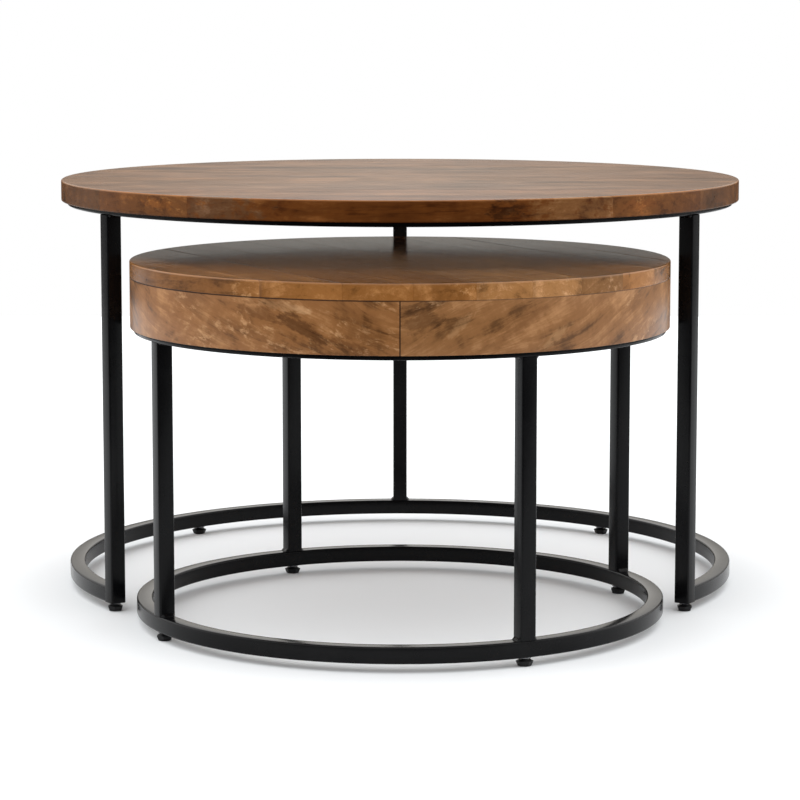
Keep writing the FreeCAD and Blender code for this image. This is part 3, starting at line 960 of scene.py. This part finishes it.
def makeScrews():
    for table, size in ((largeTable, "large"), (smallTable, "small")):
        node = "large_top_screws" if size == "large" else "small_apron_screws"
        bottom = heights(node)[0]
        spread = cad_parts[node].data.vertices
        reaches = [(v.co - table["centre"]).xy.length for v in spread if v.co.z < bottom + 0.0001]
        reach = (min(reaches) + max(reaches)) / 2
        headRadius = (max(reaches) - min(reaches)) / 2
        first = math.radians(screw["firstAngle"]) + (0.0 if size == "large" else smallTurn)
        heads = []
        for number in range(screw["count"]):
            turn = first + 2 * math.pi * number / screw["count"]
            spot = table["centre"] + Vector((reach * math.cos(turn), reach * math.sin(turn), 0))
            heads.append(placed(screwHead(headRadius, bottom), spot, number * 1.3))
        makePiece(f"{size}ScrewHeads", joined(heads), zincSteel, table["body"], [node])


blocks = {
    "long": 0.050, "side": 0.020, "gap": 0.0001, "bevel": 0.0010, "endShare": 0.94, "count": 8,
    "lacquerIor": 1.3, "roughness": 0.7, "relief": 0.00008, "highlightAndWear": 0.0, "grainTurn": 0.7,
    "dark": (0.20, 0.11, 0.05), "mid": (0.36, 0.22, 0.11), "light": (0.50, 0.33, 0.18),
    "smear": 0.1, "fleck": 0.0,
}


def makeBlocks():
    low, high = heights("small_apron_blocks")
    inner = smallTable["woodRadius"] - apron["wall"]
    chord = math.sqrt(inner ** 2 - (blocks["long"] / 2) ** 2) - blocks["gap"]
    shapes = []
    for number in range(blocks["count"]):
        loop = roundedRectangle(blocks["side"], blocks["side"], blocks["bevel"], 2)
        half = blocks["long"] / 2
        loops = []
        ends = (-half, blocks["bevel"] - half, half - blocks["bevel"], half)
        for y, shrink in zip(ends, (blocks["endShare"], 1.0, 1.0, blocks["endShare"])):
            loops.append([(chord - blocks["side"] / 2 + u * shrink, y, (low + high) / 2 + v * shrink)
                          for u, v in loop])
        turn = smallTurn + 2 * math.pi * number / blocks["count"]
        shapes.append(placed(loft(loops), smallTable["centre"], turn))
    look = dict(blocks, grain=grainValues(blocks, 77.0, blocks["roughness"]), patches=[])
    look["grain"]["Darker Below"] = 0.0
    material = boardMaterial("blockWood", smallTable["centre"], blocks["grainTurn"], look)
    makePiece("glueBlocks", joined(shapes), material, "small_table", ["small_apron_blocks"])


makeScrews()
makeBlocks()
print("fixings made")


# Floor, light and camera

studio = {
    "floorColour": (0.90, 0.92, 0.935, 1), "floorWidth": 6.0, "floorFront": -1.2, "floorBack": 3.0,
    "front": 0.12, "frontHigh": 1.2, "side": 2.0, "sideLow": 0.85, "back": 1.8, "backLow": 0.15,
    "backEdge": 0.6, "backTint": (1.0, 0.95, 0.87, 1), "overhead": 1.6, "below": 0.4,
}


def makeFloor():
    half, front, back = studio["floorWidth"] / 2, studio["floorFront"], studio["floorBack"]
    mesh = bpy.data.meshes.new("studioFloor")
    low = -0.0003  # just clear of the soles
    corners = [(-half, front, low), (half, front, low), (half, back, low), (-half, back, low)]
    mesh.from_pydata(corners, [], [(0, 1, 2, 3)])
    floor = bpy.data.objects.new("studioFloor", mesh)
    bpy.context.scene.collection.objects.link(floor)
    material, tree, shader = newMaterial("studioPaper", Roughness=0.9)
    shader["Base Color"].default_value = studio["floorColour"]
    shader["Specular IOR Level"].default_value = 0.0
    clear = add(tree, "BsdfTransparent").outputs[0]
    fromBelow = add(tree, "NewGeometry").outputs["Backfacing"]
    paper = tree.nodes["Principled BSDF"].outputs[0]
    seen = add(tree, "MixShader", {0: fromBelow, 1: paper, 2: clear}).outputs[0]
    tree.links.new(seen, tree.nodes["Material Output"].inputs["Surface"])
    mesh.materials.append(material)


# A soft studio: bright overhead and at the sides, dim behind the camera, dim and a little warm low down
# at the back, plain white where it is seen
def makeWorld():
    world = bpy.data.worlds.new("softStudio")
    bpy.context.scene.world = world
    world.use_nodes = True
    tree = world.node_tree
    split = add(tree, "SeparateXYZ", {0: add(tree, "TexCoord").outputs["Generated"]}).outputs
    ahead = soft(tree, split[2], 0.12, 0.5, studio["front"], studio["frontHigh"])
    beside = soft(tree, split[2], 0.02, 0.22, studio["sideLow"], studio["side"])
    wall = soft(tree, split[2], 0.045, 0.22, studio["backLow"], studio["back"])
    glow = soft(tree, calc(tree, "ABSOLUTE", split[0]), 0.0, 0.13, 1.0, studio["backEdge"])
    wall = calc(tree, "MULTIPLY", wall, glow)
    light = mixFloat(tree, soft(tree, split[1], -0.85, -0.1), ahead, beside)
    light = mixFloat(tree, soft(tree, split[1], 0.45, 0.9), light, wall)
    light = mixFloat(tree, soft(tree, split[2], 0.3, 0.85), light, studio["overhead"])
    under = soft(tree, split[2], -0.08, 0.0, studio["below"], 1.0)
    light = calc(tree, "MULTIPLY", light, under)
    seen = add(tree, "LightPath").outputs["Is Camera Ray"]
    strength = calc(tree, "ADD", calc(tree, "MULTIPLY", light, calc(tree, "SUBTRACT", 1.0, seen)), seen)
    background = tree.nodes["Background"]
    warm = calc(tree, "MULTIPLY", soft(tree, split[1], 0.45, 0.9), soft(tree, split[2], 0.12, 0.4, 1.0, 0.0))
    warm = calc(tree, "MULTIPLY", warm, calc(tree, "SUBTRACT", 1.0, seen))
    tree.links.new(mixColour(tree, warm, (1, 1, 1, 1), studio["backTint"]), background.inputs["Color"])
    tree.links.new(strength, background.inputs["Strength"])


view = {"fromLargeTable": 3.614, "height": 0.7012, "tiltDown": 7.69, "lens": 136.9, "sensor": 36}


def makeCamera():
    data = bpy.data.cameras.new("camera")
    data.lens = view["lens"]
    data.sensor_width = view["sensor"]
    camera = bpy.data.objects.new("camera", data)
    camera.location = (0, largeTable["centre"].y - view["fromLargeTable"], view["height"])
    camera.rotation_euler = (math.radians(90 - view["tiltDown"]), 0, 0)
    bpy.context.scene.collection.objects.link(camera)
    bpy.context.scene.camera = camera


makeFloor()
makeWorld()
makeCamera()
bpy.context.scene.view_settings.view_transform = "Standard"

print("scene ready")
